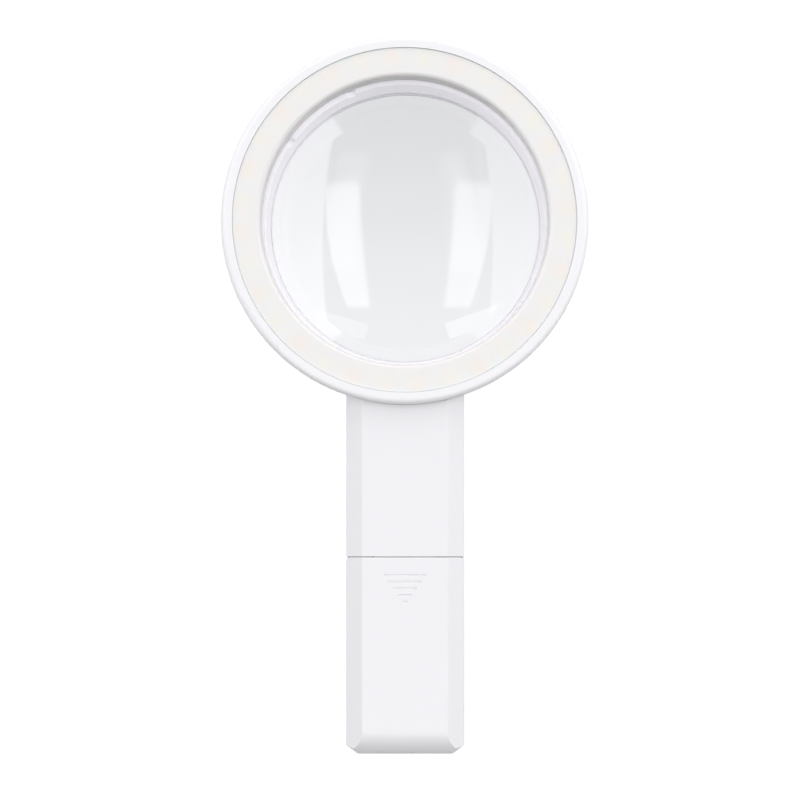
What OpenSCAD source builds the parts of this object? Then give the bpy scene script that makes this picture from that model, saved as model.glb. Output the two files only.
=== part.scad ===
// Hand magnifier with a large biconvex lens, a ring light and a battery handle.
// It lies on its eye side. +Z points to the lamp side and the handle runs along -Y.
// The origin is the centre of the footprint, on the plane that it rests on.

/* [Overall] */
// Length from the top of the head to the end of the handle
overall_len = 235.6; // [235.4:0.2:240]
// Outside diameter of the head
head_d = 118.8; // [118.6:0.1:120]
// Thickness of the head, from the rest plane to the rim face
head_t = 27; // [27:0.5:29]
// Width of the handle
handle_w = 39; // [39:0.2:41]
// Thickness of the handle
handle_t = 22.5; // [22.5:0.25:24]
// Height of the seam between the rear moulding and the front mouldings
part_z = 11; // [11:0.05:11.2]
// Wall thickness of the handle mouldings
wall = 1.8; // [1.6:0.1:1.9]
// Gap between mouldings that meet at a seam
seam = 0.12; // [0.05:0.01:0.15]

/* [Handle shape] */
// Width of the long bevels along the front of the handle
front_bevel_w = 5.6; // [4.5:0.1:6]
// Depth of the long bevels along the front of the handle
front_bevel_h = 4.5; // [3.5:0.1:5]
// Width of the long bevels along the rear of the handle
rear_bevel_w = 4.5; // [3:0.1:5]
// Depth of the long bevels along the rear of the handle
rear_bevel_h = 3.6; // [2.5:0.1:4]
// Radius that rounds the front of the handle into its end
end_round = 10.5; // [9:0.1:10.8]
// Radius that rounds the rear of the handle into its end
rear_end_round = 3; // [2.5:0.1:3.5]
// Size of the corner cuts at the end of the handle, across it
corner_cut_x = 5.4; // [4:0.1:6]
// Size of the corner cuts at the end of the handle, along it
corner_cut_y = 4; // [2.5:0.1:4.2]
// Radius that rounds the front edge of the corner cuts
corner_round = 7; // [6:0.1:7.2]

/* [Lens] */
// Diameter of the lens, with its flat edge
lens_d = 92.4; // [92:0.1:92.6]
// Thickness of the flat edge of the lens
lens_edge_t = 3; // [2.5:0.1:3.2]
// Radius of curvature of the lens face on the lamp side
lens_front_curve_r = 176; // [165:1:260]
// Radius of curvature of the lens face on the eye side
lens_rear_curve_r = 225; // [165:1:300]
// Height of the ledge that the lens rests on
lens_z = 10; // [10:0.1:10.2]
// Middle angle of the first snap tab of the lens ring
tab_angle = 128.5; // [110:0.5:150]
// Half of the angle that a snap tab spans
tab_half = 14.2; // [8:0.1:18]
// Width of the notches beside each snap tab
notch_w = 2.6; // [1.5:0.1:3.5]

/* [Ring light] */
// Outside diameter of the visible face of the light ring
diffuser_od = 110.8; // [110.4:0.1:111]
// Inside diameter of the light ring
diffuser_id = 93.2; // [93:0.1:93.4]
// Diameter of the circle that the lamps sit on
led_ring_d = 105.4; // [104.5:0.1:106]
// Number of lamps of each colour
led_pairs = 16; // [8:1:20]

/* [Battery compartment] */
// Distance of the seam above the battery cover from the head axis
split_dist = 108.9; // [108.5:0.1:110]
// Width of the seam above the battery cover
split_gap = 0.2; // [0.2:0.05:0.5]
// Lean of that seam towards the handle's end, in mm for each mm of depth
split_lean = 0.158; // [0.1:0.002:0.16]
// Diameter of one cell
cell_d = 10.5; // [10.2:0.1:10.5]
// Length of one cell with its button
cell_len = 44.5; // [43.5:0.1:44.5]
// Distance between the axes of two cells
cell_pitch = 10.7; // [10.6:0.05:10.75]
// Height of the cell axes
cell_z = 12; // [12:0.05:12.1]
// Number of grooves in the arrow mark on the cover
arrow_lines = 5; // [3:1:6]
// Distance between the grooves of the arrow mark
arrow_pitch = 2.19; // [1.8:0.01:2.4]
// Length of the longest groove of the arrow mark
arrow_w = 13.8; // [10:0.1:16]

/* [Power button] */
// Diameter of the power button
button_d = 10.8; // [9:0.1:11.5]
// Distance of the power button from the head axis
button_dist = 82; // [80:0.5:86]

/* [Hidden] */
$fn = 96;
eps = 0.01;
big = 400;
close_fit = 0.05;

head_r = head_d / 2;
head_y = overall_len / 2 - head_r;
end_y = -overall_len / 2;
split_y = head_y - split_dist;
button_y = head_y - button_dist;
half_w = handle_w / 2;
inner_half_w = half_w - wall;
front_inner_z = handle_t - wall;

// Bowl of the head: a flat floor that a quarter round carries up to the seam.
bowl_round = 10;
bowl_wall = 2;
bowl_flat_r = head_r - 0.2 - bowl_round;

// Barrel that holds the lens, measured from the head axis.
lens_r = lens_d / 2;
lens_front_z = lens_z + lens_edge_t;
eye_r = lens_r - 1.4;
barrel_r = 49;
barrel_top_z = 21.4;
ring_bore_r = 47.6;
tab_angles = [tab_angle, tab_angle + 180];
snap_z = 17.1;
board_z = 20;
board_t = 1.2;
led_h = 1.9;
diffuser_z = head_t - 0.4;
diffuser_t = 1.5;
lip_z = head_t - 1.7;
rim_round = 2;

// Screws that join the head, at four angles round the lens.
head_screw_angles = [45, 135, 225, 315];
head_screw_r = head_r - 5.2;
head_seat_z = 7.5;
head_boss_z = 9.3;
bezel_boss_z = head_boss_z + 0.1;
rib_angles = [22.5, 67.5, 112.5, 157.5, 202.5, 247.5, 292.5, 337.5];
rib_r = 55.6;

// Neck, where the cables pass from the head into the handle.
neck_y = head_y - head_r - 5;
neck_gap_w = 10;
neck_gap_z = part_z - 4;

// Screws that join the handle.
handle_screw_x = inner_half_w - 4.2;
handle_screw_ys = [neck_y, split_y + 4.5];
handle_seat_z = 4.4;
handle_boss_z = 7.4;
screw_r = 1.2;
screw_head_r = 2.4;
screw_head_h = 1.6;
pilot_r = screw_r + 0.03;
shank_hole_r = screw_r + 0.2;
head_hole_r = screw_head_r + 0.3;
boss_r = 3.4;

// Control board and its push switch.
pcb_w = 26;
pcb_top_y = neck_y - 4.4;
pcb_len = 31;
pcb_z = 7.2;
pcb_t = 1.6;
pcb_face_z = pcb_z + pcb_t;
pcb_screws = [[-10, pcb_top_y - 3.2], [10, pcb_top_y - 27.6]];
small_screw_r = 0.82;
small_pilot_r = small_screw_r + 0.03;
small_post_r = 1.8;
switch_w = 6;
switch_h = 2.5;
plunger_r = 1.6;
plunger_tip_z = 4;
flange_r = button_d / 2 + 1.2;
dish_r = 9.5;
dish_depth = 0.8;

// Battery tray, its contacts and its cells.
tray_top_y = split_y - 4.7;
tray_wall = 1.5;
plate_t = 0.4;
spring_len = 5.2;
tray_in_len = cell_len + spring_len + 2 * plate_t;
tray_len = tray_in_len + 2 * tray_wall;
tray_floor_z = 5.2;
tray_side_z = 8.6;
tray_end_z = 16.8;
tray_half_w = 17.2;
tray_end_half_w = 15.9;
tray_end_y = tray_top_y - tray_len;
contact_top_y = tray_top_y - tray_wall - plate_t;
contact_end_y = tray_end_y + tray_wall + plate_t;
plate_z = 8.4;
plate_h = 7.8;
plate_w = 8;
nub_len = 1.2;
nub_r = 1.9;
lug_len = 3.8;
lug_t = 1.5;
lug_screw_r = 1.1;
wire_r = 0.65;
wire_sides = 10;
under_tray_z = 3.6;
support_half_w = 10;
support_ys = [tray_top_y - 10.8, tray_top_y - 27.8, tray_top_y - 44.8];
side_gap_xs = [-14.5, 8.3];

// Battery cover, with a cap that forms the whole end of the handle.
cap_y = end_y + corner_cut_y + 1.2;
rail_in_x = inner_half_w - 1.3;
rail_z = 8.9;
hook_h = 0.95;
groove_depth = 0.9;
groove_top_z = rail_z + hook_h + 0.15;
tongue_half_w = 10;
tongue_len = 3.6;
tongue_z = 18.9;
tongue_top_z = front_inner_z - 0.2;
press_rib_z = 17.6;
press_rib_ys = [tray_top_y - 16.8, tray_top_y - 38.8];
partition_y = split_y + 0.3;

// ---- Outlines ----

function unit(v) = v / norm(v);

// Points of the arc that replaces corner b between its neighbours a and c.
function fillet(a, b, c, r, n = 5) =
    let (
        u = unit(a - b),
        v = unit(c - b),
        half = acos(u * v) / 2,
        o = b + unit(u + v) * r / sin(half),
        p = b + u * r / tan(half),
        q = b + v * r / tan(half)
    )
    [for (i = [0:n]) o + unit(p + (q - p) * i / n - o) * r];

// A closed outline with each corner rounded to radius r.
function rounded(pts, r) =
    let (n = len(pts))
    [for (i = [0:n - 1]) each fillet(pts[(i + n - 1) % n], pts[i], pts[(i + 1) % n], r)];

// Where a bevel of legs a and b starts on each of its two sides, once moved in by k.
function bevel_a(a, b, k) = a + k * (norm([a, b]) - a) / b;
function bevel_b(a, b, k) = b + k * (norm([a, b]) - b) / a;

// Cross-section of the handle, moved in by k.
module handle_section(k) {
    w = half_w;
    f = front_bevel_w;
    g = front_bevel_h;
    r = rear_bevel_w;
    s = rear_bevel_h;
    right = [
        [w - bevel_a(r, s, k), k],
        [w - k, bevel_b(r, s, k)],
        [w - k, handle_t - bevel_b(f, g, k)],
        [w - bevel_a(f, g, k), handle_t - k]
    ];
    left = [for (i = [3:-1:0]) [-right[i][0], right[i][1]]];
    polygon(rounded(concat(right, left), 0.7));
}

// Side outline of the handle in Y and Z, moved in by k.
module handle_side(k) {
    r = end_round - k;
    s = rear_end_round - k;
    y = end_y + k;
    top = handle_t - k;
    translate([y + r, k]) square([head_y - y - r, top - k]);
    translate([y + s, k]) square([r - s + eps, top - r - k]);
    translate([y, k + s]) square([s + eps, top - r - k - s]);
    translate([y + r, top - r]) circle(r);
    translate([y + s, k + s]) circle(s);
}

// Plan outline of the handle in X and Y, moved in by k.
module handle_plan(k) {
    w = half_w - k;
    y = end_y + k;
    cx = bevel_a(corner_cut_x, corner_cut_y, k) - k;
    cy = bevel_b(corner_cut_x, corner_cut_y, k) - k;
    end = fillet([w - cx, y], [w, y + cy], [w, head_y], 0.8);
    tip = fillet([-w, y], [w - cx, y], [w, y + cy], 4 - k);
    right = concat(tip, end, [[w, head_y]]);
    n = len(right) - 1;
    polygon(concat(right, [for (i = [n:-1:0]) [-right[i][0], right[i][1]]]));
}

// Everything inside the rounded front edge of the corner cut on the +X side, moved in by k.
// The arc starts just outside the cut's plane, so that it crosses it.
module corner_block(k) {
    arc_y = corner_round - 0.15;
    arc_z = handle_t - corner_round;
    translate([half_w - corner_cut_x, end_y, 0]) rotate(atan2(corner_cut_y, corner_cut_x))
        translate([-big / 2, 0, 0]) rotate([90, 0, 90]) linear_extrude(big) {
            translate([arc_y, arc_z]) circle(corner_round - k);
            translate([-5, -1]) square([big, arc_z + 1]);
            translate([arc_y, -1]) square([big, handle_t + 2]);
        }
}

// The handle as one solid block, moved in by k on all sides.
module handle_block(k) {
    intersection() {
        corner_block(k);
        mirror([1, 0, 0]) corner_block(k);
        translate([0, head_y, 0]) rotate([90, 0, 0]) linear_extrude(head_y - end_y) handle_section(k);
        translate([-big / 2, 0, 0]) rotate([90, 0, 90]) linear_extrude(big) handle_side(k);
        linear_extrude(handle_t) handle_plan(k);
    }
}

module handle_shell() {
    difference() {
        handle_block(0);
        handle_block(wall);
    }
}

// A box across the whole part, from y0 to y1 and from z0 to z1.
module slab(y0, y1, z0, z1) {
    translate([-big / 2, y0, z0]) cube([big, y1 - y0, z1 - z0]);
}

// Everything on the end's side of the leaning seam above the cover, less a gap.
module end_side(gap) {
    above = 1;
    y = split_y - gap;
    translate([-big / 2, 0, 0]) rotate([90, 0, 90]) linear_extrude(big) polygon([
        [end_y - 1, -above],
        [y - split_lean * (handle_t + above), -above],
        [y + split_lean * above, handle_t + above],
        [end_y - 1, handle_t + above]
    ]);
}

module head_axis() {
    translate([0, head_y, 0]) children();
}

// Copies of a shape on a circle round the head axis.
module round_head(angles, radius) {
    head_axis() for (a = angles) rotate(a) translate([radius, 0, 0]) children();
}

// A wire of radius r along a path. ref is a direction that the path never takes.
module wire(path, r, sides, ref) {
    last = len(path) - 1;
    rings = [for (i = [0:last])
        let (
            t = unit(path[min(i + 1, last)] - path[max(i - 1, 0)]),
            n = unit(cross(ref, t)),
            b = cross(t, n)
        )
        for (j = [0:sides - 1]) path[i] + r * (cos(360 * j / sides) * n + sin(360 * j / sides) * b)
    ];
    walls = [for (i = [0:last - 1], j = [0:sides - 1])
        let (k = (j + 1) % sides)
        [i * sides + j, (i + 1) * sides + j, (i + 1) * sides + k, i * sides + k]
    ];
    first_cap = [for (j = [0:sides - 1]) j];
    last_cap = [for (j = [sides - 1:-1:0]) last * sides + j];
    polyhedron(rings, concat([first_cap, last_cap], walls), convexity = 8);
}

// Points of a smooth curve through four control points.
function bezier(p, n) = [for (i = [0:n])
    let (t = i / n, u = 1 - t)
    u * u * u * p[0] + 3 * u * u * t * p[1] + 3 * u * t * t * p[2] + t * t * t * p[3]
];

// A self-tapping screw, head at z = 0 and below, thread upwards, with a cross recess.
module screw(head_radius, head_height, shank_r, shank_len) {
    slot_w = head_radius * 0.3;
    slot_l = head_radius * 1.2;
    slot_d = head_height * 0.6;
    difference() {
        union() {
            translate([0, 0, -head_height]) cylinder(r = head_radius, h = head_height, $fn = 32);
            translate([0, 0, -eps]) cylinder(r = shank_r, h = shank_len, $fn = 24);
            translate([0, 0, shank_len - 2 * eps]) cylinder(r1 = shank_r, r2 = 0.3, h = shank_r, $fn = 24);
        }
        translate([-slot_w / 2, -slot_l / 2, -head_height - eps]) cube([slot_w, slot_l, slot_d]);
        translate([-slot_l / 2, -slot_w / 2, -head_height - eps]) cube([slot_l, slot_w, slot_d]);
    }
}

// ---- Rear moulding ----

// Outside of the bowl as a solid of revolution, moved in by k.
module bowl(k) {
    r = bowl_round - k;
    head_axis() rotate_extrude($fn = 180) {
        translate([0, k]) square([bowl_flat_r, part_z - k]);
        intersection() {
            translate([bowl_flat_r, bowl_round]) circle(r);
            translate([bowl_flat_r, 0]) square([bowl_round, bowl_round]);
        }
        translate([0, bowl_round]) square([bowl_flat_r + r, part_z - bowl_round]);
    }
}

// Everything that the lens, its ring and the view through them need clear.
module lens_way() {
    head_axis() rotate_extrude($fn = 180) polygon([
        [0, -1],
        [eye_r + 1.6, -1],
        [eye_r + 0.8, 0.6],
        [eye_r, lens_z],
        [lens_r + 0.2, lens_z],
        [lens_r + 0.2, lens_front_z - 0.1],
        [ring_bore_r, lens_front_z - 0.1],
        [ring_bore_r, head_t],
        [0, head_t]
    ]);
}

// A length of ring round the head axis, between two radii and two heights.
module ring_arc(r0, r1, z0, z1, middle, half) {
    head_axis() rotate(middle - half) rotate_extrude(angle = 2 * half, $fn = 180)
        translate([r0, z0]) square([r1 - r0, z1 - z0]);
}

module lens_barrel() {
    ledge_r = barrel_r + 1.8;
    head_axis() rotate_extrude($fn = 180) polygon([
        [eye_r - 1, 0],
        [barrel_r, 0],
        [barrel_r, board_z - 3],
        [ledge_r, board_z - 1.2],
        [ledge_r, board_z],
        [barrel_r, board_z],
        [barrel_r, barrel_top_z],
        [eye_r - 1, barrel_top_z]
    ]);
}

module bowl_ribs() {
    rib_t = 1.2;
    intersection() {
        round_head(rib_angles, barrel_r - 0.5) translate([0, -rib_t / 2, 0.5])
            cube([rib_r - barrel_r + 0.5, rib_t, board_z - 0.5]);
        union() {
            bowl(0.5);
            head_axis() translate([0, 0, bowl_round]) cylinder(r = rib_r, h = board_z, $fn = 180);
        }
    }
}

module head_bosses() {
    intersection() {
        round_head(head_screw_angles, head_screw_r) cylinder(r = boss_r + 0.2, h = head_boss_z, $fn = 40);
        bowl(0);
    }
}

// Posts inside the rear of the handle, each a disc with its radius, height and place.
module posts(places, r, h) {
    for (p = places) translate([p[0], p[1], wall - eps]) cylinder(r = r, h = h - wall + eps, $fn = 40);
}

handle_screw_places = [for (x = [-handle_screw_x, handle_screw_x], y = handle_screw_ys) [x, y]];
tray_screw_places = [[0, tray_top_y + lug_len / 2], [0, tray_end_y - lug_len / 2]];

module tray_supports() {
    for (y = support_ys) translate([-support_half_w, y, wall - eps])
        cube([2 * support_half_w, 1.2, tray_floor_z - wall + eps]);
}

module partition() {
    translate([-inner_half_w - eps, partition_y, wall - eps])
        cube([2 * inner_half_w + 2 * eps, 1.2, part_z - wall]);
}

// Gap between the head and the handle for the lamps' cables.
module neck_gap() {
    translate([-neck_gap_w / 2, neck_y, neck_gap_z]) cube([neck_gap_w, 12, 8]);
}

// Gaps in the partition above the batteries, for the cables.
module partition_gaps() {
    for (x = side_gap_xs) translate([x - 1, partition_y - 1, wall]) cube([2, 4, part_z]);
    translate([-12.2, partition_y - 1, part_z - 2.5]) cube([3, 4, 4]);
}

module rail_grooves() {
    groove_z = rail_z - 0.2;
    for (side = [0, 1]) mirror([side, 0, 0]) translate([inner_half_w - 1, end_y - 1, groove_z])
        cube([groove_depth + 1, split_y - end_y, groove_top_z - groove_z]);
}

module thumb_dish() {
    sphere_r = (dish_r * dish_r + dish_depth * dish_depth) / (2 * dish_depth);
    translate([0, button_y, dish_depth - sphere_r]) sphere(r = sphere_r, $fn = 180);
}

module button_collar() {
    translate([0, button_y, wall - eps]) difference() {
        cylinder(r = flange_r + 1.4, h = 2, $fn = 60);
        translate([0, 0, -1]) cylinder(r = flange_r + 0.15, h = 4, $fn = 60);
    }
}

module rear_walls() {
    difference() {
        union() {
            bowl(0);
            intersection() {
                handle_block(0);
                slab(cap_y + seam, head_y - 40, 0, part_z);
            }
        }
        bowl(bowl_wall);
        difference() {
            handle_block(wall);
            bowl(0);
        }
    }
}

module back_housing() {
    color("white") difference() {
        union() {
            rear_walls();
            lens_barrel();
            bowl_ribs();
            head_bosses();
            posts(handle_screw_places, boss_r, handle_boss_z);
            posts(pcb_screws, small_post_r + 0.4, pcb_z);
            posts(tray_screw_places, small_post_r, tray_floor_z);
            tray_supports();
            partition();
            button_collar();
        }
        lens_way();
        for (m = tab_angles)
            ring_arc(ring_bore_r - 0.5, barrel_r + 1, snap_z - 0.2, snap_z + 1.2, m, tab_half - 1.5);
        round_head(head_screw_angles, head_screw_r) {
            translate([0, 0, -1]) cylinder(r = head_hole_r, h = head_seat_z + 1, $fn = 40);
            cylinder(r = shank_hole_r, h = head_boss_z + 1, $fn = 32);
        }
        for (p = handle_screw_places) translate([p[0], p[1], -1]) {
            cylinder(r = head_hole_r, h = handle_seat_z + 1, $fn = 40);
            cylinder(r = shank_hole_r, h = handle_boss_z + 2, $fn = 32);
        }
        for (p = concat(pcb_screws, tray_screw_places)) translate([p[0], p[1], wall])
            cylinder(r = small_pilot_r, h = 8, $fn = 24);
        translate([0, button_y, -1]) cylinder(r = button_d / 2 + 0.15, h = 5, $fn = 60);
        thumb_dish();
        neck_gap();
        partition_gaps();
        rail_grooves();
    }
}

// ---- Head ----

module head_bezel() {
    rim_in_r = diffuser_od / 2 + close_fit;
    wall_in_r = head_r - rim_round;
    tongue_out_r = bowl_flat_r + bowl_round - bowl_wall - 0.1;
    color("white") difference() {
        union() {
            head_axis() rotate_extrude($fn = 180) {
                translate([rim_in_r, lip_z]) square([wall_in_r - rim_in_r, head_t - lip_z]);
                translate([wall_in_r, part_z + seam]) square([rim_round, head_t - rim_round - part_z - seam]);
                intersection() {
                    translate([wall_in_r, head_t - rim_round]) circle(rim_round);
                    translate([wall_in_r, head_t - rim_round]) square([rim_round, rim_round]);
                }
                translate([tongue_out_r - 1.2, part_z + seam]) square([2.5, 2]);
                translate([tongue_out_r - 1.2, bezel_boss_z]) square([1.2, part_z - head_boss_z]);
            }
            round_head(head_screw_angles, head_screw_r) {
                translate([0, 0, bezel_boss_z]) cylinder(r = 2.6, h = board_z - 0.2 - bezel_boss_z, $fn = 40);
                translate([1, -1, part_z + 0.5]) cube([wall_in_r - head_screw_r, 2, board_z - part_z - 1.2]);
            }
        }
        round_head(head_screw_angles, head_screw_r) cylinder(r = pilot_r, h = 17, $fn = 32);
        neck_gap();
    }
}

module light_diffuser() {
    in_r = diffuser_id / 2;
    out_r = diffuser_od / 2;
    skirt_t = 1.4;
    edge = 1.2;
    seat_z = board_z + board_t;
    color("ivory") head_axis() rotate_extrude($fn = 180) {
        translate([in_r + edge, diffuser_z - diffuser_t]) square([out_r - in_r - edge, diffuser_t]);
        intersection() {
            translate([in_r + edge, diffuser_z - edge]) circle(edge);
            translate([in_r, diffuser_z - edge]) square([edge, edge]);
        }
        translate([in_r, barrel_top_z + 0.2]) square([skirt_t, diffuser_z - edge - barrel_top_z - 0.2]);
        translate([out_r - 1, lip_z - 1.4]) square([2.4, 1.3]);
        translate([out_r + 0.4, seat_z]) square([1, lip_z - 0.1 - seat_z]);
    }
}

module led_board() {
    color("gainsboro") head_axis() translate([0, 0, board_z]) difference() {
        cylinder(r = diffuser_od / 2 + 1.3, h = board_t, $fn = 180);
        translate([0, 0, -1]) cylinder(r = barrel_r + 0.15, h = 4, $fn = 180);
    }
}

// Lamps of one colour, each a square package with a round window.
module leds(start) {
    step = 360 / led_pairs;
    angles = [for (i = [0:led_pairs - 1]) start + i * step];
    round_head(angles, led_ring_d / 2) translate([0, 0, board_z + board_t]) difference() {
        translate([-1.4, -1.75, 0]) cube([2.8, 3.5, led_h]);
        translate([0, 0, led_h - 0.3]) cylinder(r = 1.15, h = 1, $fn = 24);
    }
}

module warm_leds() {
    color("orange") leds(4.3);
}

module cool_leds() {
    color("lemonchiffon") leds(4.3 + 180 / led_pairs);
}

// One face of the lens: the part of a ball of radius curve_r that stands on a disc of radius r.
module lens_cap(curve_r, r) {
    sphere_z = sqrt(curve_r * curve_r - r * r);
    intersection() {
        translate([0, 0, -sphere_z]) sphere(r = curve_r, $fn = 240);
        translate([0, 0, -eps]) cylinder(r = r, h = curve_r, $fn = 180);
    }
}

module lens() {
    color("lightcyan", 0.4) head_axis() translate([0, 0, lens_z]) {
        cylinder(r = lens_r, h = lens_edge_t, $fn = 180);
        translate([0, 0, lens_edge_t]) lens_cap(lens_front_curve_r, eye_r + 0.3);
        mirror([0, 0, 1]) lens_cap(lens_rear_curve_r, eye_r - 0.2);
    }
}

module lens_retaining_ring() {
    out_r = ring_bore_r - 0.1;
    low_in_r = eye_r + 0.4;
    top_in_r = diffuser_id / 2 - 0.7;
    top_z = 19.4;
    tab_z = 18.1;
    notch_angles = [for (m = tab_angles, side = [-1, 1]) m + side * (tab_half + 2)];
    color("white") union() {
        difference() {
            head_axis() rotate_extrude($fn = 180) polygon([
                [low_in_r, lens_front_z],
                [out_r, lens_front_z],
                [out_r, top_z],
                [top_in_r + 0.25, top_z],
                [top_in_r, top_z - 0.25]
            ]);
            round_head(notch_angles, top_in_r - 1.5) translate([0, -notch_w / 2, top_z - 1.8])
                cube([5, notch_w, 3]);
        }
        for (m = tab_angles) {
            ring_arc(top_in_r - 0.45, out_r - 0.4, tab_z, top_z + 0.3, m, tab_half);
            ring_arc(out_r - 0.8, ring_bore_r + 0.5, snap_z, snap_z + 0.9, m, tab_half - 2);
        }
    }
}

// ---- Handle ----

module handle_front_shell() {
    neck_wall = 1.6;
    neck_r = head_r + close_fit;
    color("white") difference() {
        union() {
            difference() {
                handle_block(0);
                difference() {
                    handle_block(wall);
                    head_axis() cylinder(r = neck_r + neck_wall, h = big, center = true, $fn = 180);
                }
                end_side(0);
                slab(end_y - 1, big, -1, part_z + seam);
            }
            // Screw bosses, which end inside the wall.
            intersection() {
                for (p = handle_screw_places) translate([p[0], p[1], handle_boss_z + 0.1])
                    cylinder(r = 2.9, h = front_inner_z - handle_boss_z, $fn = 40);
                handle_block(wall / 2);
            }
        }
        head_axis() cylinder(r = neck_r, h = big, center = true, $fn = 180);
        for (p = handle_screw_places) translate([p[0], p[1], 0]) cylinder(r = pilot_r, h = 16, $fn = 32);
        neck_gap();
    }
}

module arrow_mark() {
    first_y = split_y - 6.05;
    for (i = [0:arrow_lines - 1]) {
        w = arrow_w * (1 - 0.222 * i);
        translate([-w / 2, first_y - i * arrow_pitch, handle_t]) rotate([0, 90, 0])
            linear_extrude(w) polygon([[-0.3, 0.55], [0.35, 0.1], [0.35, -0.1], [-0.3, -0.55]]);
    }
}

// Rail with an outward hook along one side of the cover.
module cover_rail() {
    rail_y = cap_y - 1;
    rail_len = split_y - split_gap - 2 - rail_y;
    rail_t = 1.2;
    translate([0, rail_y, 0]) {
        translate([rail_in_x, 0, rail_z]) cube([rail_t, rail_len, part_z + 2 - rail_z]);
        translate([rail_in_x + rail_t - eps, 0, part_z + seam]) cube([0.8, rail_len, 2 - seam]);
        translate([rail_in_x + rail_t - eps, 0, rail_z]) cube([0.8, rail_len, hook_h]);
    }
}

module cover_tongue() {
    base_len = 5;
    top_y = split_y - split_gap;
    translate([-tongue_half_w, top_y - base_len, tongue_z]) {
        cube([2 * tongue_half_w, base_len + tongue_len, tongue_top_z - tongue_z]);
        cube([2 * tongue_half_w, base_len - 1, front_inner_z - tongue_z + 0.3]);
    }
    translate([0, top_y + tongue_len - 1.2, tongue_top_z - 0.5]) rotate([0, 90, 0])
        cylinder(r = 0.6, h = 8, center = true, $fn = 32);
}

module battery_cover() {
    corner_r = 1.4;
    top_y = split_y - split_gap;
    corner_y = top_y - corner_r - split_lean * front_bevel_h;
    w = half_w;
    color("white") difference() {
        union() {
            intersection() {
                handle_shell();
                end_side(split_gap);
                union() {
                    slab(end_y - 1, split_y, part_z + seam, big);
                    slab(end_y - 1, cap_y, -1, big);
                }
            }
            for (side = [0, 1]) mirror([side, 0, 0]) cover_rail();
            for (y = press_rib_ys) translate([-13, y, press_rib_z])
                cube([26, 1.2, front_inner_z - press_rib_z + 0.3]);
            cover_tongue();
        }
        // Rounded upper corners, seen from the front.
        for (side = [-1, 1]) translate([side * (w - corner_r), corner_y, 0]) difference() {
            translate([side > 0 ? 0 : -5, 0, -1]) cube([5, 5, big]);
            translate([0, 0, -2]) cylinder(r = corner_r, h = big + 4, $fn = 40);
        }
        // Rounded upper edge, seen from the side.
        translate([0, top_y - 0.5, handle_t - 0.5]) rotate([0, 90, 0]) difference() {
            translate([-5, 0, -w]) cube([5, 5, 2 * w]);
            cylinder(r = 0.5, h = big, center = true, $fn = 24);
        }
        arrow_mark();
    }
}

// ---- Batteries ----

// Slot in an end wall of the tray, for a solder tab and its wire.
module tab_slot() {
    slot_w = 3.2;
    translate([-slot_w / 2, -2, -slot_w / 2]) cube([slot_w, 4, 9]);
}

module battery_tray() {
    color("whitesmoke") difference() {
        union() {
            translate([-tray_half_w, tray_end_y, tray_floor_z])
                cube([2 * tray_half_w, tray_len, tray_side_z - tray_floor_z]);
            for (y = [tray_end_y, tray_top_y - tray_wall]) translate([-tray_end_half_w, y, tray_floor_z])
                cube([2 * tray_end_half_w, tray_wall, tray_end_z - tray_floor_z]);
            for (y = [tray_end_y - lug_len, tray_top_y - eps]) translate([-3, y, tray_floor_z])
                cube([6, lug_len + eps, lug_t]);
        }
        for (i = [-1:1]) translate([i * cell_pitch, tray_top_y - tray_wall, cell_z]) rotate([90, 0, 0])
            cylinder(r = cell_d / 2 + 0.1, h = tray_in_len, $fn = 60);
        translate([-tray_end_half_w, tray_end_y + tray_wall, cell_z])
            cube([2 * tray_end_half_w, tray_in_len, 9]);
        for (p = tray_screw_places) translate([p[0], p[1], 0]) cylinder(r = lug_screw_r, h = 9, $fn = 24);
        // Slots for the contact plates and for the two solder tabs.
        for (y = [tray_end_y + tray_wall - eps, tray_top_y - tray_wall - plate_t - 0.1])
            translate([-tray_end_half_w, y, plate_z - 0.1])
                cube([2 * tray_end_half_w, plate_t + 0.1 + eps, tray_end_z]);
        translate([-cell_pitch, tray_top_y - tray_wall / 2, cell_z]) tab_slot();
        translate([cell_pitch, tray_end_y + tray_wall / 2, cell_z]) tab_slot();
    }
}

// One cell with its button towards +Y, the button's face at y = 0.
module cell(col) {
    can_len = cell_len - nub_len;
    color(col) rotate([90, 0, 0]) {
        cylinder(r = nub_r, h = nub_len + 0.1, $fn = 40);
        translate([0, 0, nub_len]) rotate_extrude($fn = 64) polygon([
            [0, 0],
            [cell_d / 2 - 0.6, 0],
            [cell_d / 2, 0.6],
            [cell_d / 2, can_len - 0.4],
            [cell_d / 2 - 0.4, can_len],
            [0, can_len]
        ]);
    }
}

module cell_left() {
    translate([-cell_pitch, contact_top_y, cell_z]) cell("seagreen");
}

module cell_middle() {
    translate([0, contact_end_y, cell_z]) mirror([0, 1, 0]) cell("seagreen");
}

module cell_right() {
    translate([cell_pitch, contact_top_y, cell_z]) cell("seagreen");
}

// A conical spring from a plate at y = 0 to the end of a cell at y = spring_len.
module spring() {
    turns = 4;
    per_turn = 18;
    r = 0.3;
    wide = 3.4;
    narrow = 2;
    path = [for (i = [0:turns * per_turn])
        let (
            t = i / (turns * per_turn),
            a = 360 * i / per_turn,
            q = wide + (narrow - wide) * t
        )
        [q * cos(a), r + 0.03 + (spring_len - 2 * r - 0.06) * t, q * sin(a)]
    ];
    wire(path, r, 8, [0, 1, 0]);
}

module contact_springs() {
    color("silver") {
        for (x = [-cell_pitch, cell_pitch]) translate([x, contact_end_y, cell_z]) spring();
        translate([0, contact_top_y, cell_z]) mirror([0, 1, 0]) spring();
    }
}

module contact_plate(x0, x1, y) {
    color("silver") translate([x0, y, plate_z]) cube([x1 - x0, plate_t, plate_h]);
}

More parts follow.
